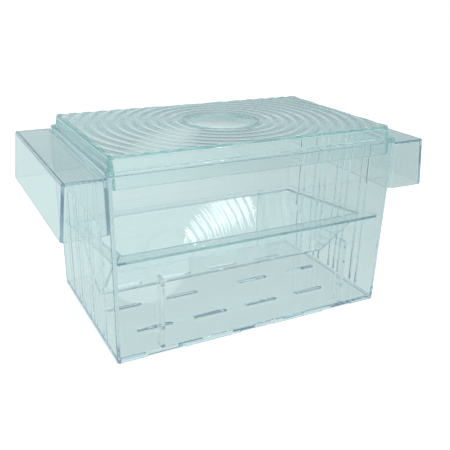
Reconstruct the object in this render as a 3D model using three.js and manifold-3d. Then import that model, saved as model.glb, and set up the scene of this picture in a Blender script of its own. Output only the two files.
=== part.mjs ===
// Floating fish-breeding box in clear plastic: an open-top tank with two float chambers,
// a raised lid with concentric ridges and a feed cap, and a V-trough insert under the lid.
// Millimetres, +Z up. The origin is the centre of the base, on the surface the box stands on.
// X runs along the box, from one float to the other, and -Y is the front.

import * as THREE from 'three';
import { mergeVertices } from 'three/addons/utils/BufferGeometryUtils.js';
import Module from 'manifold-3d';

// ---------- driving dimensions ----------
const GAP = 0.3;                  // air left between two pieces that lie against each other
const OVERCUT = 1;                // how far a cutting solid runs past the face that it opens

const TANK_HEIGHT = 120;
const RIM = { length: 200, width: 126 };
const BASE = { length: 197.5, width: 122 };
const TANK_CORNER = 1.5;          // on the outside of the upright edges
const INNER_CORNER = 0.8;         // on the inside of them, and on what drops in
const WALL = 2;
const FOOT_HEIGHT = 1.2;
const FOOT_WIDTH = 2.6;
const FLOOR_TOP = 3.4;
const FOOT_VENT = { length: 26, offsets: [-66, 0, 66] };

const FLOOR_SLOT = { length: 25, width: 3.4 };
const FLOOR_SLOT_ROWS = [
  { y: -33.7, centres: [-63.8, -22.9, 18, 58.9] },
  { y: 0, centres: [-74, -29.8, 29.8, 74] },
  { y: 33.7, centres: [-61.3, -20.4, 20.4, 61.3] },
];

const END_SLOT_WIDTH = 1.4;
const END_SLOT_PITCH = 6.9;
const END_SLOT_STEPS = [-6, -5, -3, -2, -1, 1, 2, 3, 5, 6];   // in pitches from the middle
const END_SLOT_BOTTOM = 5;
const END_SLOT_TOP = 82;          // the slots stop below the floats, and grooves go on upwards
const END_GROOVE_TOP = 117;
const END_GROOVE_DEPTH = 1.4;

const RIB_X = 68.5;
const RIB_WIDTH = 2.4;
const RIB_INNER_Y = 53;
const RIB_TOP = 51.5;

const FLOAT_BOTTOM = 87;
const FLOAT_REACH = { top: 25, bottom: 28.2 };
const FLOAT_HALF_WIDTH = { top: 63.5, bottom: 64 };
const FLOAT_WALL = 1.8;
const FLOAT_CORNER = 1.5;

const LID_FLANGE = { length: 202.4, width: 127.4, thickness: 2.1, corner: 2.5 };
const PLATEAU_BASE = { length: 197.5, width: 119.8 };
const PLATEAU_TOP = { length: 195, width: 117.4 };
const PLATEAU_CORNER = 2.5;
const PLATEAU_Z = 130.5;
const PLATE_THICKNESS = 2.2;
const SKIRT_BOTTOM = 111.5;
const SKIRT_CLEARANCE = 0.7;
const SKIRT_WALL = 1.8;
const RIDGE_PITCH = 7.9;
const RIDGE_HEIGHT = 0.4;
const RIDGE_COUNT = 12;

const FEED_HOLE_RADIUS = 23.6;
const FEED_SEAT_RADIUS = 26.4;
const FEED_SEAT_DEPTH = 1.2;
const FEED_BEAD_RADIUS = 29;
const CAP_RADIUS = 26;
const CAP_THICKNESS = 1;
const CAP_DISH = 1;
const COLLAR = { outer: 23.2, inner: 21.7, length: 6.5 };

const INSERT_TILT = THREE.MathUtils.degToRad(6.4);   // the back edge lies lower than the front
const INSERT_FLANGE = { length: 192.4, width: 116, thickness: 1.8, corner: 1.5 };
const TROUGH_LENGTH = 176.6;       // inside, along X
const TROUGH_HALF_WIDTH = 45.5;   // inside, at the flange
const TROUGH_DEPTH = 39.8;        // inside, flange to the bottom of the V
const TROUGH_WALL = 1.8;
const TROUGH_SLIT = { length: 41, width: 2.4, pitch: 45, count: 4 };

const CORNER_STEPS = 4;
const ROUND_STEPS = 48;
const SLOT_END_STEPS = 5;

// ---------- solid helpers ----------
const wasm = await Module();
wasm.setup();

function solid(geometry) {
  const bare = geometry.index ? geometry.toNonIndexed() : geometry.clone();
  bare.deleteAttribute('normal');
  bare.deleteAttribute('uv');
  const merged = mergeVertices(bare, 1e-4);
  return new wasm.Manifold(new wasm.Mesh({
    numProp: 3,
    vertProperties: new Float32Array(merged.attributes.position.array),
    triVerts: new Uint32Array(merged.index.array),
  }));
}

function mesh(name, manifold, material) {
  const data = manifold.getMesh();
  const geometry = new THREE.BufferGeometry();
  geometry.setAttribute('position', new THREE.BufferAttribute(data.vertProperties, 3));
  geometry.setIndex(new THREE.BufferAttribute(data.triVerts, 1));
  geometry.computeVertexNormals();
  const result = new THREE.Mesh(geometry, material);
  result.name = name;
  return result;
}

// A box between two corners.
function block(low, high) {
  const size = high.map((value, axis) => value - low[axis]);
  const geometry = new THREE.BoxGeometry(...size);
  geometry.translate(...high.map((value, axis) => (value + low[axis]) / 2));
  return solid(geometry);
}

// One level of a lofted solid: a rounded rectangle, anticlockwise as seen from above.
function roundedRing({ x = 0, halfX, halfY, corner, z }) {
  const ring = [];
  for (let quarter = 0; quarter < 4; quarter += 1) {
    const signX = quarter === 0 || quarter === 3 ? 1 : -1;
    const signY = quarter < 2 ? 1 : -1;
    for (let step = 0; step <= CORNER_STEPS; step += 1) {
      const angle = (quarter + step / CORNER_STEPS) * Math.PI / 2;
      ring.push([
        x + signX * (halfX - corner) + corner * Math.cos(angle),
        signY * (halfY - corner) + corner * Math.sin(angle),
        z,
      ]);
    }
  }
  return ring;
}

// A solid through two or more levels, closed by a flat face at each end.
function loft(levels) {
  const rings = levels.map(roundedRing);
  const count = rings[0].length;
  const positions = rings.flat(2);
  const indices = [];
  for (let level = 0; level + 1 < rings.length; level += 1) {
    for (let i = 0; i < count; i += 1) {
      const a = level * count + i;
      const b = level * count + (i + 1) % count;
      indices.push(a, b, b + count, a, b + count, a + count);
    }
  }
  const last = (rings.length - 1) * count;
  for (let i = 1; i + 1 < count; i += 1) {
    indices.push(0, i + 1, i);
    indices.push(last, last + i, last + i + 1);
  }
  const geometry = new THREE.BufferGeometry();
  geometry.setAttribute('position', new THREE.Float32BufferAttribute(positions, 3));
  geometry.setIndex(indices);
  return solid(geometry);
}

// A solid of revolution about Z from [radius, z] points that run anticlockwise.
function turned(points) {
  const profile = points.map(([radius, z]) => new THREE.Vector2(radius, z));
  const geometry = new THREE.LatheGeometry(profile, ROUND_STEPS);
  geometry.rotateX(Math.PI / 2);
  return solid(geometry);
}

// An upright slot-shaped cutter with round ends, lying along X.
function slotCutter(length, width, x, y, low, high) {
  const radius = width / 2;
  const reach = length / 2 - radius;
  const outline = new THREE.Shape();
  outline.absarc(reach, 0, radius, -Math.PI / 2, Math.PI / 2, false);
  outline.absarc(-reach, 0, radius, Math.PI / 2, Math.PI * 1.5, false);
  const geometry = new THREE.ExtrudeGeometry(outline, {
    depth: high - low,
    bevelEnabled: false,
    curveSegments: SLOT_END_STEPS,
  });
  geometry.translate(x, y, low);
  return solid(geometry);
}

const subtractAll = (body, cutters) => cutters.reduce((left, cutter) => left.subtract(cutter), body);
const addAll = (body, extras) => extras.reduce((sum, extra) => sum.add(extra), body);

// ---------- the tank's tapered walls ----------
const tankHalfX = (z) => THREE.MathUtils.lerp(BASE.length, RIM.length, z / TANK_HEIGHT) / 2;
const tankHalfY = (z) => THREE.MathUtils.lerp(BASE.width, RIM.width, z / TANK_HEIGHT) / 2;

function tankLevel(z, inset, corner) {
  return { halfX: tankHalfX(z) - inset, halfY: tankHalfY(z) - inset, corner, z };
}

function endWallCutters() {
  const cutters = [];
  for (const side of [-1, 1]) {
    for (const step of END_SLOT_STEPS) {
      const low = step * END_SLOT_PITCH - END_SLOT_WIDTH / 2;
      const high = step * END_SLOT_PITCH + END_SLOT_WIDTH / 2;
      const inside = tankHalfX(0) - WALL - OVERCUT;
      const outside = tankHalfX(TANK_HEIGHT) + OVERCUT;
      const slotX = [side * inside, side * outside].sort((a, b) => a - b);
      cutters.push(block([slotX[0], low, END_SLOT_BOTTOM], [slotX[1], high, END_SLOT_TOP]));
      const grooveFloor = tankHalfX(END_SLOT_TOP) - WALL + END_GROOVE_DEPTH;
      const grooveX = [side * inside, side * grooveFloor].sort((a, b) => a - b);
      cutters.push(block([grooveX[0], low, END_SLOT_TOP - OVERCUT], [grooveX[1], high, END_GROOVE_TOP]));
    }
  }
  return cutters;
}

function floorCutters() {
  return FLOOR_SLOT_ROWS.flatMap(({ y, centres }) => centres.map((x) => (
    slotCutter(FLOOR_SLOT.length, FLOOR_SLOT.width, x, y, 0, FLOOR_TOP + OVERCUT)
  )));
}

function footCutters() {
  const hollow = loft([
    tankLevel(-OVERCUT, FOOT_WIDTH, INNER_CORNER),
    { ...tankLevel(0, FOOT_WIDTH, INNER_CORNER), z: FOOT_HEIGHT },
  ]);
  const vents = FOOT_VENT.offsets.map((x) => block(
    [x - FOOT_VENT.length / 2, -BASE.width, -OVERCUT],
    [x + FOOT_VENT.length / 2, BASE.width, FOOT_HEIGHT],
  ));
  return [hollow, ...vents];
}

function supportRibs() {
  const ribs = [];
  for (const x of [-RIB_X, RIB_X]) {
    for (const side of [-1, 1]) {
      const ys = [side * RIB_INNER_Y, side * (tankHalfY(0) - WALL / 2)].sort((a, b) => a - b);
      ribs.push(block(
        [x - RIB_WIDTH / 2, ys[0], FLOOR_TOP - OVERCUT],
        [x + RIB_WIDTH / 2, ys[1], RIB_TOP],
      ));
    }
  }
  return ribs;
}

function makeTank() {
  const outside = loft([tankLevel(0, 0, TANK_CORNER), tankLevel(TANK_HEIGHT, 0, TANK_CORNER)]);
  const inside = loft([
    tankLevel(FLOOR_TOP, WALL, INNER_CORNER),
    tankLevel(TANK_HEIGHT + OVERCUT, WALL, INNER_CORNER),
  ]);
  const shell = outside.subtract(inside);
  const cut = subtractAll(shell, [...endWallCutters(), ...floorCutters(), ...footCutters()]);
  return addAll(cut, supportRibs());
}

// ---------- float chambers: closed on top, open below ----------
function floatLevel(side, z, inset, corner) {
  const share = (z - FLOAT_BOTTOM) / (TANK_HEIGHT - FLOAT_BOTTOM);
  const reach = THREE.MathUtils.lerp(FLOAT_REACH.bottom, FLOAT_REACH.top, share);
  const innerX = tankHalfX(z) + GAP;
  const outerX = RIM.length / 2 + reach;
  return {
    x: side * (innerX + outerX) / 2,
    halfX: (outerX - innerX) / 2 - inset,
    halfY: THREE.MathUtils.lerp(FLOAT_HALF_WIDTH.bottom, FLOAT_HALF_WIDTH.top, share) - inset,
    corner,
    z,
  };
}

function makeFloat(side) {
  const outside = loft([
    floatLevel(side, FLOAT_BOTTOM, 0, FLOAT_CORNER),
    floatLevel(side, TANK_HEIGHT, 0, FLOAT_CORNER),
  ]);
  const inside = loft([
    floatLevel(side, FLOAT_BOTTOM - OVERCUT, FLOAT_WALL, INNER_CORNER),
    floatLevel(side, TANK_HEIGHT - FLOAT_WALL, FLOAT_WALL, INNER_CORNER),
  ]);
  return outside.subtract(inside);
}

// ---------- lid: flange, plug skirt, plateau with concentric ridges, feed hole ----------
const LID_BOTTOM = TANK_HEIGHT + GAP;
const LID_FLANGE_TOP = LID_BOTTOM + LID_FLANGE.thickness;
const SKIRT = {
  halfX: tankHalfX(SKIRT_BOTTOM) - WALL - SKIRT_CLEARANCE,
  halfY: tankHalfY(SKIRT_BOTTOM) - WALL - SKIRT_CLEARANCE,
};

function level(length, width, corner, z) {
  return { halfX: length / 2, halfY: width / 2, corner, z };
}

// Everything under the ridged top: a saw-tooth of rings outside the bead round the feed hole.
function underRidges() {
  const floorZ = SKIRT_BOTTOM - OVERCUT;
  const lastRadius = FEED_BEAD_RADIUS + RIDGE_COUNT * RIDGE_PITCH;
  const points = [[0, floorZ], [lastRadius, floorZ], [lastRadius, PLATEAU_Z - RIDGE_HEIGHT]];
  for (let ring = RIDGE_COUNT - 1; ring >= 0; ring -= 1) {
    const inner = FEED_BEAD_RADIUS + ring * RIDGE_PITCH;
    points.push([inner + RIDGE_PITCH / 2, PLATEAU_Z]);
    points.push([inner, PLATEAU_Z - RIDGE_HEIGHT]);
  }
  points.push([FEED_BEAD_RADIUS - 1, PLATEAU_Z], [0, PLATEAU_Z]);
  return turned(points);
}

function makeLid() {
  const { length, width, corner } = LID_FLANGE;
  const flange = loft([level(length, width, corner, LID_BOTTOM), level(length, width, corner, LID_FLANGE_TOP)]);
  const plateau = loft([
    level(PLATEAU_BASE.length, PLATEAU_BASE.width, PLATEAU_CORNER, LID_FLANGE_TOP - OVERCUT),
    level(PLATEAU_TOP.length, PLATEAU_TOP.width, PLATEAU_CORNER, PLATEAU_Z),
  ]);
  const skirt = loft([
    { ...SKIRT, corner: INNER_CORNER, z: SKIRT_BOTTOM },
    { ...SKIRT, corner: INNER_CORNER, z: LID_FLANGE_TOP },
  ]);
  const underside = PLATEAU_Z - PLATE_THICKNESS;
  const hollow = loft([
    { halfX: SKIRT.halfX - SKIRT_WALL, halfY: SKIRT.halfY - SKIRT_WALL, corner: 0.5, z: SKIRT_BOTTOM - OVERCUT },
    { halfX: PLATEAU_TOP.length / 2 - WALL, halfY: PLATEAU_TOP.width / 2 - WALL, corner: 0.5, z: underside },
  ]);
  const feedHole = turned([
    [0, underside - OVERCUT],
    [FEED_HOLE_RADIUS, underside - OVERCUT],
    [FEED_HOLE_RADIUS, PLATEAU_Z - FEED_SEAT_DEPTH],
    [FEED_SEAT_RADIUS, PLATEAU_Z - FEED_SEAT_DEPTH],
    [FEED_SEAT_RADIUS, PLATEAU_Z + OVERCUT],
    [0, PLATEAU_Z + OVERCUT],
  ]);
  return addAll(flange, [plateau, skirt]).subtract(hollow).intersect(underRidges()).subtract(feedHole);
}

// ---------- feed cap: a dished disc with a short collar that plugs the feed hole ----------
function makeCap() {
  const seatZ = PLATEAU_Z - FEED_SEAT_DEPTH + GAP;
  const topZ = seatZ + CAP_THICKNESS;
  const middle = CAP_RADIUS / 2;
  return turned([
    [0, seatZ - CAP_DISH],
    [COLLAR.inner, seatZ - CAP_DISH * 0.3],
    [COLLAR.inner, seatZ - COLLAR.length],
    [COLLAR.outer, seatZ - COLLAR.length],
    [COLLAR.outer, seatZ],
    [CAP_RADIUS, seatZ],
    [CAP_RADIUS, topZ],
    [middle, topZ - CAP_DISH * 0.75],
    [0, topZ - CAP_DISH],
  ]);
}

// ---------- V-trough insert, built level about its flange's top face ----------
function troughPrism(halfWidth, depth, halfLength, top) {
  const slope = halfWidth / depth;
  const outline = new THREE.Shape([
    new THREE.Vector2(0, -depth),
    new THREE.Vector2(halfWidth + top * slope, top),
    new THREE.Vector2(-halfWidth - top * slope, top),
  ]);
  const geometry = new THREE.ExtrudeGeometry(outline, { depth: halfLength * 2, bevelEnabled: false });
  geometry.translate(0, 0, -halfLength);
  geometry.rotateX(Math.PI / 2);
  geometry.rotateZ(Math.PI / 2);
  return solid(geometry);
}

function makeInsert() {
  const { length, width, thickness, corner } = INSERT_FLANGE;
  const flange = loft([level(length, width, corner, -thickness), level(length, width, corner, 0)]);
  const slant = Math.hypot(TROUGH_HALF_WIDTH, TROUGH_DEPTH);
  const outerHalfWidth = TROUGH_HALF_WIDTH + TROUGH_WALL * slant / TROUGH_DEPTH;
  const outerDepth = TROUGH_DEPTH + TROUGH_WALL * slant / TROUGH_HALF_WIDTH;
  const outside = troughPrism(outerHalfWidth, outerDepth, TROUGH_LENGTH / 2 + TROUGH_WALL, 0);
  const inside = troughPrism(TROUGH_HALF_WIDTH, TROUGH_DEPTH, TROUGH_LENGTH / 2, OVERCUT);
  const slits = [];
  for (let i = 0; i < TROUGH_SLIT.count; i += 1) {
    const x = (i - (TROUGH_SLIT.count - 1) / 2) * TROUGH_SLIT.pitch;
    slits.push(block(
      [x - TROUGH_SLIT.length / 2, -TROUGH_SLIT.width / 2, -outerDepth - OVERCUT],
      [x + TROUGH_SLIT.length / 2, TROUGH_SLIT.width / 2, -TROUGH_DEPTH + OVERCUT * 3],
    ));
  }
  return subtractAll(flange.add(outside).subtract(inside), slits);
}

// ---------- materials ----------
function clearPlastic(color) {
  return new THREE.MeshStandardMaterial({
    color,
    roughness: 0.08,
    metalness: 0,
    transparent: true,
    opacity: 0.35,
  });
}

const tankPlastic = clearPlastic(0xc9dfe4);
const floatPlastic = clearPlastic(0xc3d9e2);
const lidPlastic = clearPlastic(0xc2dfdd);
const insertPlastic = clearPlastic(0xc0dedf);

// ---------- assembly ----------
const breedingBox = new THREE.Group();
breedingBox.add(mesh('tank_body', makeTank(), tankPlastic));
breedingBox.add(mesh('float_left', makeFloat(-1), floatPlastic));
breedingBox.add(mesh('float_right', makeFloat(1), floatPlastic));
breedingBox.add(mesh('lid_cover', makeLid(), lidPlastic));
breedingBox.add(mesh('feed_cap', makeCap(), lidPlastic));

// The insert's back edge rests on the back ribs, and its front edge stands higher.
const insert = new THREE.Group();
const edgeReach = INSERT_FLANGE.width / 2;
const insertLift = edgeReach * Math.sin(INSERT_TILT) + INSERT_FLANGE.thickness * Math.cos(INSERT_TILT);
insert.position.z = RIB_TOP + GAP + insertLift;
insert.rotation.x = -INSERT_TILT;
insert.add(mesh('trough_insert', makeInsert(), insertPlastic));
breedingBox.add(insert);

export default breedingBox;
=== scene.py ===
"""Looks of the floating fish-breeding box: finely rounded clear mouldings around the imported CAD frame."""

import math

import bmesh
import bpy
from mathutils import Matrix, Vector


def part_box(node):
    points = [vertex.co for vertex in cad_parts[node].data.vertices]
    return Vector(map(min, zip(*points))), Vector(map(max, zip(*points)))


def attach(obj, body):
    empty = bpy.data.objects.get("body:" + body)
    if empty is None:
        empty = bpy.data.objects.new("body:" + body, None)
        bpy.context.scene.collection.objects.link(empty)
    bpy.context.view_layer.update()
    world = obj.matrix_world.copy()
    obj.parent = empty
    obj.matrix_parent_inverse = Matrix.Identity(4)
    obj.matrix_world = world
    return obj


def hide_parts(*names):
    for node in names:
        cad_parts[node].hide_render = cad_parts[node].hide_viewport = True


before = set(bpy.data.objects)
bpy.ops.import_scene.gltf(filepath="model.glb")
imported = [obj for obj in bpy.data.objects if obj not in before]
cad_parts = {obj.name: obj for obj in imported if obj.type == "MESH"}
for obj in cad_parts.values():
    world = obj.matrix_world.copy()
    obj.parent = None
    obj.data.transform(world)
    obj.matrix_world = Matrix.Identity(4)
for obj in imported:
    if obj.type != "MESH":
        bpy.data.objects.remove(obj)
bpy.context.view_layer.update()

# ---------- sizes, in metres ----------
MM = 0.001
OVERCUT = 1 * MM  # how far a cutter reaches past what it cuts
SMALLEST_CORNER = 0.05 * MM
CORNER_TIGHTENING = 0.35  # how much a corner's radius shrinks with each unit that the outline draws in
CORNER_STEPS = 7
FILLET_STEPS = 4
FILLET_SHARE = 0.49  # the most of a profile's stretch that one fillet takes up
SLOT_END_STEPS = 8
CREASE_ANGLE = 32  # degrees: shading breaks at sharper edges
FLAT_COSINE = 0.99999  # neighbours whose normals agree this well count as one flat face
MERGE_DISTANCE = 1e-7

_, TANK_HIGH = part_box("tank_body")
LID_LOW, LID_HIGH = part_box("lid_cover")
CAP_LOW, CAP_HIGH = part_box("feed_cap")

TANK_TAPER = (1.25 * MM, 2 * MM)  # how far each end and each side draws in at the base
TANK_CORNER = 1.5 * MM
WALL = 2 * MM
FLOOR_TOP = 3.4 * MM
FOOT_HEIGHT = 1.2 * MM
FOOT_WIDTH = 2.6 * MM

FLOOR_SLOT = (25 * MM, 3.4 * MM)  # length and width
FLOOR_SLOT_ROWS = (
    (-33.7 * MM, (-63.8 * MM, -22.9 * MM, 18 * MM, 58.9 * MM)),
    (0, (-74 * MM, -29.8 * MM, 29.8 * MM, 74 * MM)),
    (33.7 * MM, (-61.3 * MM, -20.4 * MM, 20.4 * MM, 61.3 * MM)),
)
END_SLOT_WIDTH = 1.4 * MM
END_SLOT_PITCH = 6.9 * MM
END_SLOT_Y = [step * END_SLOT_PITCH for step in (-6, -5, -3, -2, -1, 1, 2, 3, 5, 6)]
END_SLOT_BOTTOM = 5 * MM
END_SLOT_TOP = 82 * MM
END_GROOVE_TOP = 117 * MM
END_GROOVE_DEPTH = 1.4 * MM
SLOT_FLARE = 0.4 * MM  # how much a slot widens on each side where it opens into the tank
RIB_X = 68.5 * MM
RIB_WIDTH = 2.4 * MM
RIB_INNER_Y = 53 * MM
RIB_TOP = 51.5 * MM
FOOT_VENT_LENGTH = 26 * MM
FOOT_VENT_X = (-66 * MM, 0, 66 * MM)
FOOT_VENT_REACH = 1.1  # times the half width, so that a vent passes both foot rims

FLOAT_WALL = 1.8 * MM
FLOAT_CORNER = 1.5 * MM
FLOAT_DRAFT_X = 3.2 * MM
FLOAT_DRAFT_Y = 0.5 * MM
JOIN_GAP = 0.3 * MM
TOP_RING_INSET = 4 * MM  # how far in from the edge the last ring of a closed top lies
FLOOR_RING_INSET = 6 * MM  # the same for the tank's floor, from the inner face of the wall

FLANGE_THICKNESS = 2.1 * MM
FLANGE_CORNER = 2.5 * MM
PLATEAU_BASE = (98.75 * MM, 59.9 * MM)
PLATEAU_TOP = (97.5 * MM, 58.7 * MM)
PLATEAU_CORNER = 2.5 * MM
PLATE_THICKNESS = 2.2 * MM
SKIRT_CLEARANCE = 0.7 * MM
SKIRT_WALL = 1.8 * MM
RIDGE_PITCH = 7.9 * MM
RIDGE_HEIGHT = 0.5 * MM
RIDGE_COUNT = 12
RIDGE_STEPS = 8
RIDGE_SEGMENTS = 144
FEED_BEAD_RADIUS = 29 * MM
FEED_BEAD_WIDTH = 1.2 * MM
FEED_SEAT_RADIUS = 26.4 * MM
FEED_SEAT_DEPTH = 1.2 * MM
FEED_HOLE_RADIUS = 23.6 * MM

CAP_THICKNESS = 1 * MM
CAP_DISH = 1 * MM
COLLAR_INNER = 21.7 * MM
COLLAR_OUTER = 23.2 * MM
CAP_EDGE = 0.3 * MM
CAP_UNDER_EDGE = 0.2 * MM
CAP_RIM_WIDTH = 1 * MM
DISH_STEPS = 10

INSERT_TILT = math.radians(6.4)
INSERT_FLANGE_THICKNESS = 1.8 * MM
INSERT_FLANGE = (96.2 * MM, 58 * MM)
INSERT_CORNER = 1.5 * MM
TROUGH_HALF_LENGTH = 88.3 * MM
TROUGH_HALF_WIDTH = 45.5 * MM
TROUGH_DEPTH = 39.8 * MM
TROUGH_WALL = 1.8 * MM
TROUGH_BLUNTING = 0.8 * MM  # how much of the outer V's edge is taken off
TROUGH_BOTTOM_ROUND = 0.3 * MM
TROUGH_SLIT = (41 * MM, 2.4 * MM)  # length and width
TROUGH_SLIT_PITCH = 45 * MM
TROUGH_SLIT_COUNT = 4


# ---------- mesh code ----------
def rounded(points):
    """A profile of (inset, z, radius) corners as a polyline of (inset, z), with an arc at each corner."""
    line = []
    for i, (u, z, radius) in enumerate(points):
        here = Vector((u, z))
        if radius <= 0 or i in (0, len(points) - 1):
            line.append((u, z))
            continue
        before = Vector(points[i - 1][:2]) - here
        after = Vector(points[i + 1][:2]) - here
        half_angle = before.angle(after) / 2
        longest = FILLET_SHARE * min(before.length, after.length)
        reach = min(radius / math.tan(half_angle), longest)
        start = here + before.normalized() * reach
        end = here + after.normalized() * reach
        for step in range(FILLET_STEPS + 1):
            t = step / FILLET_STEPS
            point = start.lerp(here, t).lerp(here.lerp(end, t), t)
            line.append((point.x, point.y))
    return line


def round_levels(outline):
    """Levels of (half length, half width, corner, height) with each edge rounded by its radius."""
    levels = []
    for i, (half_x, half_y, corner, z, radius) in enumerate(outline):
        if radius <= 0:
            levels.append((0, half_x, half_y, corner, z))
            continue
        here = Vector((half_x, half_y, corner, z))
        before = Vector(outline[i - 1][:4])
        after = Vector(outline[i + 1][:4])
        start = here + (before - here) * min(radius / (before - here).length, FILLET_SHARE)
        end = here + (after - here) * min(radius / (after - here).length, FILLET_SHARE)
        for step in range(FILLET_STEPS + 1):
            t = step / FILLET_STEPS
            levels.append((0, *start.lerp(here, t).lerp(here.lerp(end, t), t)))
    return levels


def ring(centre_x, half_x, half_y, corner, z):
    """A rounded rectangle, anticlockwise from above."""
    corner = max(min(corner, half_x, half_y), SMALLEST_CORNER)
    points = []
    for quarter in range(4):
        sign_x = 1 if quarter in (0, 3) else -1
        sign_y = 1 if quarter < 2 else -1
        for step in range(CORNER_STEPS + 1):
            angle = (quarter + step / CORNER_STEPS) * math.pi / 2
            x = centre_x + sign_x * (half_x - corner) + corner * math.cos(angle)
            y = sign_y * (half_y - corner) + corner * math.sin(angle)
            points.append((x, y, z))
    return points


def new_object(name, bm):
    bmesh.ops.recalc_face_normals(bm, faces=bm.faces)
    mesh = bpy.data.meshes.new(name)
    bm.to_mesh(mesh)
    bm.free()
    obj = bpy.data.objects.new(name, mesh)
    bpy.context.scene.collection.objects.link(obj)
    return obj


def stack_rings(bm, rings):
    """Adds a closed shell through rings of points, capped at the first and the last."""
    rings = [[bm.verts.new(point) for point in points] for points in rings]
    count = len(rings[0])
    for low, high in zip(rings, rings[1:]):
        for i in range(count):
            j = (i + 1) % count
            bm.faces.new((low[i], low[j], high[j], high[i]))
    bm.faces.new(list(reversed(rings[0])))
    bm.faces.new(rings[-1])


def swept(name, levels):
    """A closed shell through rounded-rectangle levels, capped at the first and the last."""
    bm = bmesh.new()
    stack_rings(bm, [ring(*level) for level in levels])
    return new_object(name, bm)


def turned(name, profile, segments):
    """A closed solid of revolution: the profile starts and ends on the axis."""
    bm = bmesh.new()
    first = bm.verts.new((0, 0, profile[0][1]))
    last = bm.verts.new((0, 0, profile[-1][1]))
    rings = []
    for radius, z in profile[1:-1]:
        angles = [2 * math.pi * i / segments for i in range(segments)]
        rings.append([bm.verts.new((radius * math.cos(a), radius * math.sin(a), z)) for a in angles])
    for i in range(segments):
        j = (i + 1) % segments
        bm.faces.new((first, rings[0][j], rings[0][i]))
        bm.faces.new((last, rings[-1][i], rings[-1][j]))
        for low, high in zip(rings, rings[1:]):
            bm.faces.new((low[i], low[j], high[j], high[i]))
    return new_object(name, bm)


def blocks(name, boxes):
    """Several boxes in one mesh, each (low corner, high corner)."""
    bm = bmesh.new()
    for low, high in boxes:
        size = [high[i] - low[i] for i in range(3)]
        centre = [(high[i] + low[i]) / 2 for i in range(3)]
        place = Matrix.Translation(centre) @ Matrix.Diagonal((*size, 1))
        bmesh.ops.create_cube(bm, size=1, matrix=place)
    return new_object(name, bm)


def slot_solids(name, slots, levels):
    """Upright cutters (x, y, length, width) with round ends, widened at each (height, growth) level."""
    bm = bmesh.new()
    for x, y, length, width in slots:
        reach = (length - width) / 2
        rings = []
        for z, growth in levels:
            radius = width / 2 + growth
            points = []
            for side, start in ((1, -math.pi / 2), (-1, math.pi / 2)):
                for step in range(SLOT_END_STEPS + 1):
                    angle = start + math.pi * step / SLOT_END_STEPS
                    along = side * reach + radius * math.cos(angle)
                    points.append((x + along, y + radius * math.sin(angle), z))
            rings.append(points)
        stack_rings(bm, rings)
    return new_object(name, bm)


def combine(obj, tool, operation):
    """Cuts, joins or intersects obj with tool, and removes tool."""
    modifier = obj.modifiers.new(operation, "BOOLEAN")
    modifier.operation = operation
    modifier.solver = "MANIFOLD"
    modifier.object = tool
    depsgraph = bpy.context.evaluated_depsgraph_get()
    made = bpy.data.meshes.new_from_object(obj.evaluated_get(depsgraph))
    obj.modifiers.clear()
    obj.data = made
    bpy.data.objects.remove(tool)


def slice_faces(obj, axis, places):
    """Splits faces along planes, so that a later cut meets each face at its edge and leaves no hole in it."""
    bm = bmesh.new()
    bm.from_mesh(obj.data)
    normal = Vector((0, 0, 0))
    normal[axis] = 1
    for place in places:
        geometry = bm.verts[:] + bm.edges[:] + bm.faces[:]
        centre = normal * place
        bmesh.ops.bisect_plane(bm, geom=geometry, plane_co=centre, plane_no=normal, dist=MERGE_DISTANCE)
    bm.to_mesh(obj.data)
    bm.free()


def flat_groups(mesh):
    """The total area of the flat face that each polygon belongs to, coplanar neighbours counted in."""
    parent = list(range(len(mesh.polygons)))

    def root(i):
        while parent[i] != i:
            parent[i] = parent[parent[i]]
            i = parent[i]
        return i

    first_at_edge = {}
    for polygon in mesh.polygons:
        for key in polygon.edge_keys:
            other = first_at_edge.setdefault(key, polygon.index)
            if polygon.normal.dot(mesh.polygons[other].normal) > FLAT_COSINE:
                parent[root(polygon.index)] = root(other)
    area = {}
    for polygon in mesh.polygons:
        area[root(polygon.index)] = area.get(root(polygon.index), 0) + polygon.area
    return [area[root(i)] for i in range(len(parent))]


def crisp_normals(mesh):
    """Keeps flat faces flat, rounds the fillets between them, and breaks at sharp edges."""
    areas = flat_groups(mesh)
    at_vertex = [[] for _ in mesh.vertices]
    for polygon in mesh.polygons:
        for vertex in polygon.vertices:
            at_vertex[vertex].append(polygon.index)
    limit = math.cos(math.radians(CREASE_ANGLE))
    normals = []
    for polygon in mesh.polygons:
        for vertex in polygon.vertices:
            total = Vector((0, 0, 0))
            for index in at_vertex[vertex]:
                normal = mesh.polygons[index].normal
                if normal.dot(polygon.normal) > limit:
                    total += normal * areas[index] ** 2
            normals.append(total.normalized() if total.length > 0 else polygon.normal)
    mesh.shade_smooth()
    mesh.normals_split_custom_set(normals)


def finish_mesh(obj, material, body, nodes):
    """Clean shading, the material, and what the piece rides on and stands for."""
    mesh = obj.data
    mesh.name = obj.name
    mesh.materials.clear()
    mesh.materials.append(material)
    crisp_normals(mesh)
    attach(obj, body)
    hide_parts(*nodes)
    return obj


# ---------- materials ----------
def link(tree, source, target):
    tree.links.new(source, target)


def node(tree, kind, **settings):
    made = tree.nodes.new(kind)
    for key, value in settings.items():
        setattr(made, key, value)
    return made


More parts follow.
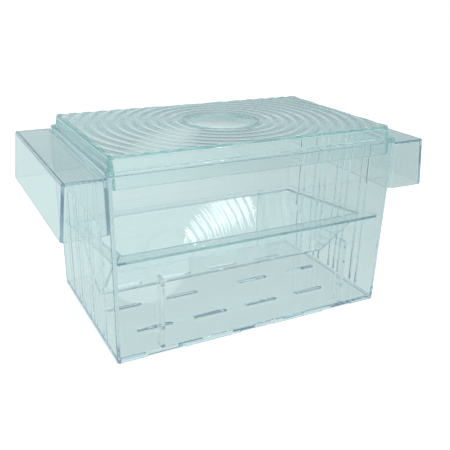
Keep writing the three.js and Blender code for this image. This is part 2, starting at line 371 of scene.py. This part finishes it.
def clear_plastic(name, tint, cast, density, smear_scale):
    """Clear moulded plastic: tinted in its depth, faint moulding waves and smears on its surface."""
    material = bpy.data.materials.new(name)
    material.use_nodes = True
    tree = material.node_tree
    tree.nodes.clear()
    output = node(tree, "ShaderNodeOutputMaterial")
    plastic = node(tree, "ShaderNodeBsdfPrincipled")
    plastic.inputs["Transmission Weight"].default_value = 1
    plastic.inputs["IOR"].default_value = 1.57
    place = node(tree, "ShaderNodeTexCoord")

    smear = node(tree, "ShaderNodeTexNoise")
    smear.inputs["Scale"].default_value = smear_scale
    smear.inputs["Detail"].default_value = 6
    smear.inputs["Roughness"].default_value = 0.6
    link(tree, place.outputs["Object"], smear.inputs["Vector"])
    polish = node(tree, "ShaderNodeMapRange")
    polish.inputs["From Min"].default_value = 0.56
    polish.inputs["From Max"].default_value = 0.8
    polish.inputs["To Min"].default_value = 0.0
    polish.inputs["To Max"].default_value = 0.09
    link(tree, smear.outputs["Fac"], polish.inputs["Value"])
    link(tree, polish.outputs["Result"], plastic.inputs["Roughness"])

    tone = node(tree, "ShaderNodeValToRGB")
    tone.color_ramp.elements[0].color = (*(0.97 * channel for channel in tint), 1)
    tone.color_ramp.elements[1].color = (*(min(1, 1.03 * channel) for channel in tint), 1)
    link(tree, smear.outputs["Fac"], tone.inputs["Fac"])
    link(tree, tone.outputs["Color"], plastic.inputs["Base Color"])

    wave = node(tree, "ShaderNodeTexNoise")
    wave.inputs["Scale"].default_value = 38
    wave.inputs["Detail"].default_value = 2
    link(tree, place.outputs["Object"], wave.inputs["Vector"])
    bump = node(tree, "ShaderNodeBump")
    bump.inputs["Strength"].default_value = 0.008
    bump.inputs["Distance"].default_value = 0.4 * MM
    link(tree, wave.outputs["Fac"], bump.inputs["Height"])
    link(tree, bump.outputs["Normal"], plastic.inputs["Normal"])

    rays = node(tree, "ShaderNodeLightPath")
    passing = node(tree, "ShaderNodeBsdfTransparent")
    passing.inputs["Color"].default_value = (0.988, 0.99, 0.99, 1)
    lamps_through = node(tree, "ShaderNodeMixShader")
    link(tree, rays.outputs["Is Shadow Ray"], lamps_through.inputs["Fac"])
    link(tree, plastic.outputs["BSDF"], lamps_through.inputs[1])
    link(tree, passing.outputs["BSDF"], lamps_through.inputs[2])
    link(tree, lamps_through.outputs["Shader"], output.inputs["Surface"])

    depth = node(tree, "ShaderNodeVolumeAbsorption")
    depth.inputs["Color"].default_value = (*cast, 1)
    depth.inputs["Density"].default_value = density
    link(tree, depth.outputs["Volume"], output.inputs["Volume"])
    return material


tank_plastic = clear_plastic("tank_plastic", (0.945, 0.958, 0.96), (0.1, 0.56, 0.82), 4.2, 22)
float_plastic = clear_plastic("float_plastic", (0.92, 0.945, 0.95), (0.25, 0.58, 0.75), 4.5, 26)
lid_plastic = clear_plastic("lid_plastic", (0.912, 0.956, 0.963), (0.12, 0.74, 0.7), 5, 24)
insert_plastic = clear_plastic("insert_plastic", (0.945, 0.97, 0.97), (0.12, 0.6, 0.7), 9, 20)


# ---------- tank ----------
def tank_half(z):
    """The tank's outer half length and half width at a height."""
    share = z / TANK_HIGH.z
    return (
        TANK_HIGH.x - TANK_TAPER[0] * (1 - share),
        TANK_HIGH.y - TANK_TAPER[1] * (1 - share),
    )


def tank_levels():
    """From the underside inside the foot rim, up the outside, over the rim and down to the floor."""
    rim = TANK_HIGH.z
    profile = rounded((
        # inset from the outside, height, edge radius
        (FOOT_WIDTH, FOOT_HEIGHT, 0),
        (FOOT_WIDTH, 0, 0.4 * MM),
        (0, 0, 0.9 * MM),
        (0, rim, 0.6 * MM),
        (WALL, rim, 0.6 * MM),
        (WALL, FLOOR_TOP, 0.5 * MM),
        (WALL + FLOOR_RING_INSET, FLOOR_TOP, 0),
    ))
    levels = []
    for inset, z in profile:
        half_x, half_y = tank_half(z)
        levels.append((0, half_x - inset, half_y - inset, TANK_CORNER - inset * CORNER_TIGHTENING, z))
    return levels


def end_cuts(name, low, high, reach_x):
    """Upright cutters in the end walls, flared at the inner face and reaching out to reach_x."""
    bm = bmesh.new()
    narrow = END_SLOT_WIDTH / 2
    wide = narrow + SLOT_FLARE
    for side in (-1, 1):
        for y in END_SLOT_Y:
            rings = []
            for z in (low, high):
                face = tank_half(z)[0] - WALL
                inner = ((face - 2 * OVERCUT, wide), (face, wide))
                half = (*inner, (face + SLOT_FLARE, narrow), (reach_x, narrow))
                outline = [(x, -across) for x, across in half] + list(reversed(half))
                rings.append([(side * x, y + across, z) for x, across in outline])
            stack_rings(bm, rings)
    return new_object(name, bm)


def build_tank():
    tank = swept("tank_moulding", tank_levels())
    slice_faces(tank, 0, sorted({x for _, centres in FLOOR_SLOT_ROWS for x in centres}))
    slice_faces(tank, 1, END_SLOT_Y)
    slice_faces(tank, 2, [END_SLOT_TOP])
    ribs = []
    for x in (-RIB_X, RIB_X):
        for side in (-1, 1):
            low_y, high_y = sorted((side * RIB_INNER_Y, side * (tank_half(0)[1] - WALL / 2)))
            low = (x - RIB_WIDTH / 2, low_y, FLOOR_TOP - OVERCUT)
            ribs.append((low, (x + RIB_WIDTH / 2, high_y, RIB_TOP)))
    combine(tank, blocks("ribs", ribs), "UNION")
    outside = TANK_HIGH.x + 2 * OVERCUT
    combine(tank, end_cuts("end_slots", END_SLOT_BOTTOM, END_SLOT_TOP, outside), "DIFFERENCE")
    groove_floor = tank_half(END_SLOT_TOP)[0] - WALL + END_GROOVE_DEPTH
    combine(tank, end_cuts("end_grooves", END_SLOT_TOP, END_GROOVE_TOP, groove_floor), "DIFFERENCE")
    slots = [(x, y, *FLOOR_SLOT) for y, centres in FLOOR_SLOT_ROWS for x in centres]
    levels = (
        # height, growth of the slot's outline
        (-OVERCUT, 0),
        (FLOOR_TOP - SLOT_FLARE, 0),
        (FLOOR_TOP, SLOT_FLARE),
        (FLOOR_TOP + OVERCUT, SLOT_FLARE),
    )
    combine(tank, slot_solids("floor_slots", slots, levels), "DIFFERENCE")
    reach_y = TANK_HIGH.y * FOOT_VENT_REACH
    vents = []
    for x in FOOT_VENT_X:
        low = (x - FOOT_VENT_LENGTH / 2, -reach_y, -OVERCUT)
        vents.append((low, (x + FOOT_VENT_LENGTH / 2, reach_y, FOOT_HEIGHT)))
    combine(tank, blocks("foot_vents", vents), "DIFFERENCE")
    return finish_mesh(tank, tank_plastic, "tank", ["tank_body"])


# ---------- floats ----------
def build_float(name, cad_node, side):
    """A chamber on the end wall on that side, closed on top and open below, that draws in upwards."""
    low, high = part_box(cad_node)
    outer_bottom = max(abs(low.x), abs(high.x))
    profile = rounded((
        # inset from the outside, height, edge radius
        (FLOAT_WALL + TOP_RING_INSET, high.z - FLOAT_WALL, 0),
        (FLOAT_WALL, high.z - FLOAT_WALL, 1 * MM),
        (FLOAT_WALL, low.z, 0.5 * MM),
        (0, low.z, 0.5 * MM),
        (0, high.z, 1.2 * MM),
        (TOP_RING_INSET, high.z, 0),
    ))
    levels = []
    for inset, z in profile:
        share = (z - low.z) / (high.z - low.z)
        inner_x = tank_half(z)[0] + JOIN_GAP
        outer_x = outer_bottom - FLOAT_DRAFT_X * share
        half_x = (outer_x - inner_x) / 2 - inset
        half_y = high.y - FLOAT_DRAFT_Y * share - inset
        corner = FLOAT_CORNER - inset * CORNER_TIGHTENING
        levels.append((side * (inner_x + outer_x) / 2, half_x, half_y, corner, z))
    levels.reverse()
    shell = swept(name, levels)
    return finish_mesh(shell, float_plastic, "tank", [cad_node])


# ---------- lid ----------
def ridge_profile():
    """The solid under the ridged top, as a profile from the axis out and back to the axis."""
    top = LID_HIGH.z
    last = FEED_BEAD_RADIUS + RIDGE_COUNT * RIDGE_PITCH
    under = LID_LOW.z - 2 * OVERCUT
    profile = [(0, under), (last, under)]
    for step in range(RIDGE_COUNT * RIDGE_STEPS, 0, -1):
        turn = 2 * math.pi * step / RIDGE_STEPS
        radius = FEED_BEAD_RADIUS + step * RIDGE_PITCH / RIDGE_STEPS
        profile.append((radius, top - RIDGE_HEIGHT * (1 + math.cos(turn)) / 2))
    profile.append((FEED_BEAD_RADIUS, top - RIDGE_HEIGHT))
    profile.append((FEED_BEAD_RADIUS - 0.5 * MM, top - RIDGE_HEIGHT * 0.3))
    profile.append((FEED_BEAD_RADIUS - FEED_BEAD_WIDTH, top))
    profile.append((0, top))
    return profile


def build_lid():
    skirt_x, skirt_y = (half - WALL - SKIRT_CLEARANCE for half in tank_half(LID_LOW.z))
    under_flange = TANK_HIGH.z + JOIN_GAP
    flange_top = under_flange + FLANGE_THICKNESS
    plate_under = LID_HIGH.z - PLATE_THICKNESS
    flange_x, flange_y = LID_HIGH.x, LID_HIGH.y
    top_x, top_y = PLATEAU_TOP
    hollow_x, hollow_y = top_x - WALL, top_y - WALL
    outline = (
        # half length, half width, corner, height, edge radius
        (hollow_x - TOP_RING_INSET, hollow_y - TOP_RING_INSET, 1 * MM, plate_under, 0),
        (hollow_x, hollow_y, 1 * MM, plate_under, 1 * MM),
        (skirt_x - SKIRT_WALL, skirt_y - SKIRT_WALL, 1 * MM, LID_LOW.z, 0.5 * MM),
        (skirt_x, skirt_y, 1.2 * MM, LID_LOW.z, 0.5 * MM),
        (skirt_x, skirt_y, 1.2 * MM, under_flange, 0.2 * MM),
        (flange_x, flange_y, FLANGE_CORNER, under_flange, 0.6 * MM),
        (flange_x, flange_y, FLANGE_CORNER, flange_top, 0.7 * MM),
        (*PLATEAU_BASE, PLATEAU_CORNER, flange_top, 0.7 * MM),
        (*PLATEAU_TOP, PLATEAU_CORNER, LID_HIGH.z, 0.7 * MM),
        (top_x - TOP_RING_INSET, top_y - TOP_RING_INSET, 2 * MM, LID_HIGH.z, 0),
    )
    lid = swept("lid_moulding", round_levels(outline))
    combine(lid, turned("under_ridges", ridge_profile(), RIDGE_SEGMENTS), "INTERSECT")
    seat = LID_HIGH.z - FEED_SEAT_DEPTH
    hole = turned("feed_hole", (
        (0, plate_under - OVERCUT),
        (FEED_HOLE_RADIUS, plate_under - OVERCUT),
        (FEED_HOLE_RADIUS, seat),
        (FEED_SEAT_RADIUS, seat),
        (FEED_SEAT_RADIUS, LID_HIGH.z + OVERCUT),
        (0, LID_HIGH.z + OVERCUT),
    ), RIDGE_SEGMENTS)
    combine(lid, hole, "DIFFERENCE")
    return finish_mesh(lid, lid_plastic, "lid", ["lid_cover"])


def build_cap():
    """A dished disc on a collar, as a profile from the axis, down the collar and back over the top."""
    seat = CAP_HIGH.z - CAP_THICKNESS
    rim = CAP_HIGH.x
    dish_radius = rim - CAP_RIM_WIDTH
    profile = [
        (0, seat - CAP_DISH),
        (COLLAR_INNER - 0.4 * MM, seat - CAP_DISH * 0.35),
        (COLLAR_INNER, seat - CAP_DISH * 0.6),
        (COLLAR_INNER, CAP_LOW.z + CAP_EDGE),
        (COLLAR_INNER + CAP_EDGE, CAP_LOW.z),
        (COLLAR_OUTER - CAP_EDGE, CAP_LOW.z),
        (COLLAR_OUTER, CAP_LOW.z + CAP_EDGE),
        (COLLAR_OUTER, seat),
        (rim - CAP_UNDER_EDGE, seat),
        (rim, seat + CAP_UNDER_EDGE),
        (rim, CAP_HIGH.z - CAP_EDGE),
        (rim - CAP_EDGE, CAP_HIGH.z),
    ]
    for step in range(1, DISH_STEPS):
        radius = dish_radius * (1 - step / DISH_STEPS)
        drop = 1 - (radius / dish_radius) ** 2
        profile.append((radius, CAP_HIGH.z - CAP_DISH * drop))
    profile.append((0, CAP_HIGH.z - CAP_DISH))
    cap = turned("feed_cap_moulding", profile, RIDGE_SEGMENTS)
    return finish_mesh(cap, lid_plastic, "cap", ["feed_cap"])


# ---------- insert ----------
def build_insert():
    """Built level, with the flange's top face at height 0, then tilted to where the CAD has it."""
    slant = math.hypot(TROUGH_HALF_WIDTH, TROUGH_DEPTH)
    outer_width = TROUGH_HALF_WIDTH + TROUGH_WALL * slant / TROUGH_DEPTH
    outer_depth = TROUGH_DEPTH + TROUGH_WALL * slant / TROUGH_HALF_WIDTH
    outer_length = TROUGH_HALF_LENGTH + TROUGH_WALL
    thick = INSERT_FLANGE_THICKNESS
    under_width = outer_width * (1 - thick / outer_depth)
    flange_x, flange_y = INSERT_FLANGE
    blunt_width = outer_width * TROUGH_BLUNTING / outer_depth
    outline = (
        # half length, half width, corner, height, edge radius
        (outer_length, blunt_width, blunt_width, TROUGH_BLUNTING - outer_depth, 0),
        (outer_length, under_width, 3 * MM, -thick, 0.8 * MM),
        (flange_x, flange_y, INSERT_CORNER, -thick, 0.5 * MM),
        (flange_x, flange_y, INSERT_CORNER, 0, 0.6 * MM),
        (TROUGH_HALF_LENGTH, TROUGH_HALF_WIDTH, 0.9 * MM, 0, 0.6 * MM),
        (TROUGH_HALF_LENGTH, TROUGH_BOTTOM_ROUND, TROUGH_BOTTOM_ROUND, -TROUGH_DEPTH, 0),
    )
    insert = swept("insert_moulding", round_levels(outline))
    length, width = TROUGH_SLIT
    slits = []
    for i in range(TROUGH_SLIT_COUNT):
        x = (i - (TROUGH_SLIT_COUNT - 1) / 2) * TROUGH_SLIT_PITCH
        low = (x - length / 2, -width / 2, -outer_depth - OVERCUT)
        slits.append((low, (x + length / 2, width / 2, -TROUGH_DEPTH + 3 * OVERCUT)))
    combine(insert, blocks("slits", slits), "DIFFERENCE")
    back_edge = RIB_TOP + JOIN_GAP
    lift = back_edge + flange_y * math.sin(INSERT_TILT) + thick * math.cos(INSERT_TILT)
    insert.data.transform(Matrix.Translation((0, 0, lift)) @ Matrix.Rotation(-INSERT_TILT, 4, "X"))
    return finish_mesh(insert, insert_plastic, "insert", ["trough_insert"])


build_tank()
build_float("float_moulding_left", "float_left", -1)
build_float("float_moulding_right", "float_right", 1)
build_lid()
build_cap()
build_insert()


# ---------- floor, light and camera ----------
TABLE_DIRECT = (0.9, 0.9, 0.9)
TABLE_THROUGH = (0.06, 0.07, 0.07)
TABLE_GLOW_DIRECT = (0.5, 0.5, 0.5)
TABLE_GLOW_THROUGH = (0.58, 0.71, 0.7)
TABLE_FALL_OFF = 0.35  # metres to the right of the box's middle over which the glow dims: painted shade
TABLE_GLOW_RANGE = (1.05, 0.8)  # times the glow, up to the middle and past the fall-off
TABLE_RADIUS = 3
TABLE_DROP = 0.2 * MM
SURROUND_DIRECT = (1, 1, 1)
SURROUND_THROUGH = (
    # height of the direction looked in, colour
    (0.06, (0.84, 0.94, 0.95)),
    (0.28, (0.32, 0.4, 0.42)),
    (0.85, (0.14, 0.19, 0.21)),
)
CAMERA_PLACE = (-0.196, -0.3769, 0.2239)
CAMERA_ANGLES = (28.12, 21.88, 1.395)  # degrees: heading from +Y towards +X, downwards, roll
CAMERA_SENSOR = 36
CAMERA_LENS = 50.44
LIGHT_BOUNCES = 96  # a ray crosses many faces and stays long inside a wall
CLEAR_BOUNCES = 40


def seen_or_through(tree, direct, through):
    """A colour for what is seen directly, and the greyer blue-green one that shows through the plastic."""
    rays = node(tree, "ShaderNodeLightPath")
    choice = node(tree, "ShaderNodeMix", data_type="RGBA")
    link(tree, rays.outputs["Is Camera Ray"], choice.inputs["Factor"])
    for name, colour in (("A", through), ("B", direct)):
        entry = next(i for i in choice.inputs if i.name == name and i.type == "RGBA")
        if isinstance(colour, bpy.types.NodeSocket):
            link(tree, colour, entry)
        else:
            entry.default_value = (*colour, 1)
    return next(o for o in choice.outputs if o.type == "RGBA")


def painted_falloff(tree, colour):
    """A colour painted dimmer to the right across the table: painted shade, standing in for light falling off
    away from the left.
    """
    place = node(tree, "ShaderNodeTexCoord")
    split = node(tree, "ShaderNodeSeparateXYZ")
    link(tree, place.outputs["Object"], split.inputs["Vector"])
    ramp = node(tree, "ShaderNodeMapRange", interpolation_type="SMOOTHSTEP")
    ramp.inputs["From Min"].default_value = 0
    ramp.inputs["From Max"].default_value = TABLE_FALL_OFF
    ramp.inputs["To Min"].default_value = TABLE_GLOW_RANGE[0]
    ramp.inputs["To Max"].default_value = TABLE_GLOW_RANGE[1]
    link(tree, split.outputs["X"], ramp.inputs["Value"])
    dim = node(tree, "ShaderNodeVectorMath", operation="SCALE")
    dim.inputs[0].default_value = colour
    link(tree, ramp.outputs["Result"], dim.inputs["Scale"])
    return dim.outputs["Vector"]


def build_floor():
    """A pale table, a little lit from below as a light table is, so that shadows stay faint."""
    bm = bmesh.new()
    bmesh.ops.create_circle(bm, cap_ends=True, radius=TABLE_RADIUS, segments=64)
    floor = new_object("studio_floor", bm)
    floor.location.z = -TABLE_DROP
    material = bpy.data.materials.new("pale_floor")
    material.use_nodes = True
    tree = material.node_tree
    shader = tree.nodes["Principled BSDF"]
    link(tree, seen_or_through(tree, TABLE_DIRECT, TABLE_THROUGH), shader.inputs["Base Color"])
    # the glow seen through the plastic is painted dimmer to the right: painted shade
    glow = painted_falloff(tree, TABLE_GLOW_THROUGH)
    link(tree, seen_or_through(tree, TABLE_GLOW_DIRECT, glow), shader.inputs["Emission Color"])
    shader.inputs["Emission Strength"].default_value = 1
    shader.inputs["Roughness"].default_value = 0.9
    floor.data.materials.append(material)


def build_world():
    """A pale surround: bright round the horizon, greyer overhead, so that clear walls and edges read."""
    world = bpy.data.worlds.new("studio")
    bpy.context.scene.world = world
    world.use_nodes = True
    tree = world.node_tree
    place = node(tree, "ShaderNodeTexCoord")
    split = node(tree, "ShaderNodeSeparateXYZ")
    link(tree, place.outputs["Generated"], split.inputs["Vector"])
    ramp = node(tree, "ShaderNodeValToRGB")
    link(tree, split.outputs["Z"], ramp.inputs["Fac"])
    stops = ramp.color_ramp.elements
    stops.new(SURROUND_THROUGH[-1][0])
    for stop, (height, colour) in zip(stops, SURROUND_THROUGH):
        stop.position = height
        stop.color = (*colour, 1)
    backdrop = tree.nodes["Background"]
    surround = seen_or_through(tree, SURROUND_DIRECT, ramp.outputs["Color"])
    link(tree, surround, backdrop.inputs["Color"])
    backdrop.inputs["Strength"].default_value = 1


def far_lamp(name, direction, angle, strength):
    """A lamp so far off that it lights everything evenly, angle degrees wide as seen from the box."""
    data = bpy.data.lights.new(name, "SUN")
    data.energy = strength
    data.angle = math.radians(angle)
    lamp = bpy.data.objects.new(name, data)
    bpy.context.scene.collection.objects.link(lamp)
    lamp.location = Vector(direction)
    lamp.rotation_euler = Vector(direction).to_track_quat("Z", "Y").to_euler()


def build_camera():
    heading, downwards, roll = (math.radians(angle) for angle in CAMERA_ANGLES)
    forward = Vector((
        math.sin(heading) * math.cos(downwards),
        math.cos(heading) * math.cos(downwards),
        -math.sin(downwards),
    ))
    data = bpy.data.cameras.new("camera")
    data.sensor_width = CAMERA_SENSOR
    data.lens = CAMERA_LENS
    camera = bpy.data.objects.new("camera", data)
    bpy.context.scene.collection.objects.link(camera)
    camera.location = CAMERA_PLACE
    turn = forward.to_track_quat("-Z", "Y").to_matrix() @ Matrix.Rotation(roll, 3, "Z")
    camera.rotation_euler = turn.to_euler()
    bpy.context.scene.camera = camera


build_floor()
build_world()
far_lamp("key_softbox", (0.43, -0.05, 0.9), 3, 0.8)
far_lamp("fill_softbox", (0.2, -0.1, 1), 70, 1.3)
far_lamp("back_softbox", (0.31, 0.85, 0.42), 8, 0.009)
build_camera()

scene = bpy.context.scene
scene.view_settings.view_transform = "Standard"
scene.cycles.max_bounces = LIGHT_BOUNCES
scene.cycles.transmission_bounces = LIGHT_BOUNCES
scene.cycles.glossy_bounces = LIGHT_BOUNCES
scene.cycles.transparent_max_bounces = CLEAR_BOUNCES
scene.cycles.caustics_reflective = False
scene.cycles.caustics_refractive = False
scene.cycles.sample_clamp_indirect = 12
scene.cycles.use_denoising = True
